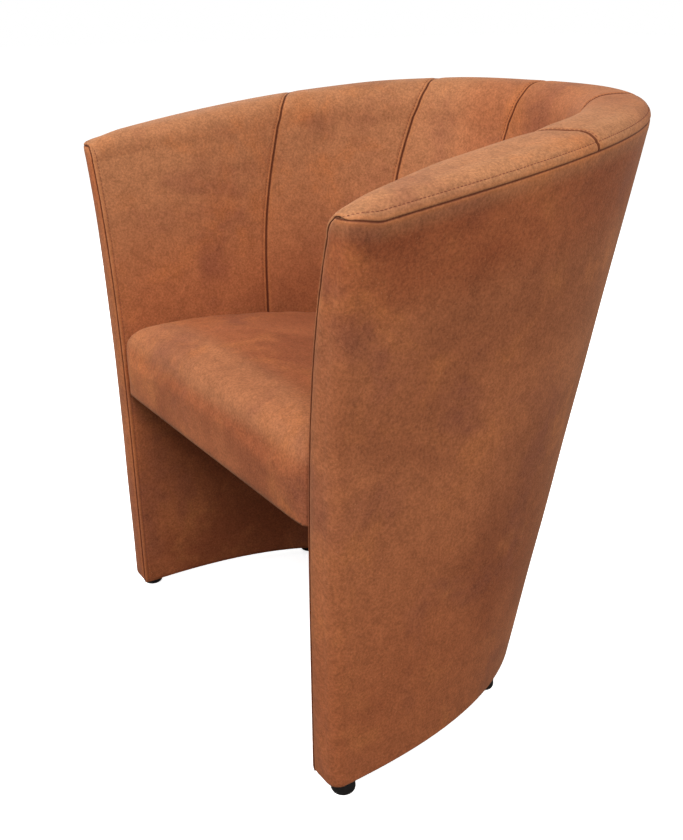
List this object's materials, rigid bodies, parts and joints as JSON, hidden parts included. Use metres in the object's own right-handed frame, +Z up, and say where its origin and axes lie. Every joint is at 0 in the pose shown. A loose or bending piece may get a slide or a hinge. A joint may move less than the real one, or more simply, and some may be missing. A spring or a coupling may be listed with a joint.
{
  "type": "cocktail chair",
  "caption": "Tub-shaped cocktail armchair with a flared padded back that runs into the arms, a crowned box seat and small round feet under a horseshoe base.",
  "frame": {"origin": "centre of the bounding box at floor level", "axes": "+Z up, the chair faces -Y, +X is the sitter's left when seated facing -Y"},
  "size_m": [0.7004, 0.5716, 0.77],
  "materials": {
    "suede_cover": "suede-look microfibre, matt and mottled cognac brown",
    "foam": "open-cell upholstery foam",
    "felt": "pressed felt",
    "black_cloth": "thin non-woven cloth",
    "hardboard": "bent hardboard, raw",
    "frame_wood": "raw plywood and softwood",
    "spring_steel": "oiled spring steel",
    "zinc_steel": "zinc plated",
    "black_plastic": "matt black plastic"
  },
  "bodies": {
    "root": {"outer_cover": "suede_cover", "left_arm_panel": "suede_cover", "right_arm_panel": "suede_cover", "left_side_panel": "suede_cover", "right_side_panel": "suede_cover", "left_back_panel": "suede_cover", "right_back_panel": "suede_cover", "lower_lining": "suede_cover", "seat_cover": "suede_cover", "wall_foam": "foam", "seat_foam": "foam", "spring_pad": "felt", "dust_cover": "black_cloth", "outer_board": "hardboard", "inner_board": "hardboard", "base_ring": "frame_wood", "top_rail": "frame_wood", "middle_rail": "frame_wood", "left_front_post": "frame_wood", "right_front_post": "frame_wood", "left_side_post": "frame_wood", "right_side_post": "frame_wood", "left_back_post": "frame_wood", "right_back_post": "frame_wood", "seat_front_rail": "frame_wood", "seat_left_rail": "frame_wood", "seat_right_rail": "frame_wood", "seat_back_rail": "frame_wood", "corner_blocks": "frame_wood", "seat_springs": "spring_steel", "spring_clips": "spring_steel", "seat_bolts": "zinc_steel", "tee_nuts": "zinc_steel", "foot_screws": "zinc_steel", "feet": "black_plastic"}
  },
  "joints": []
}
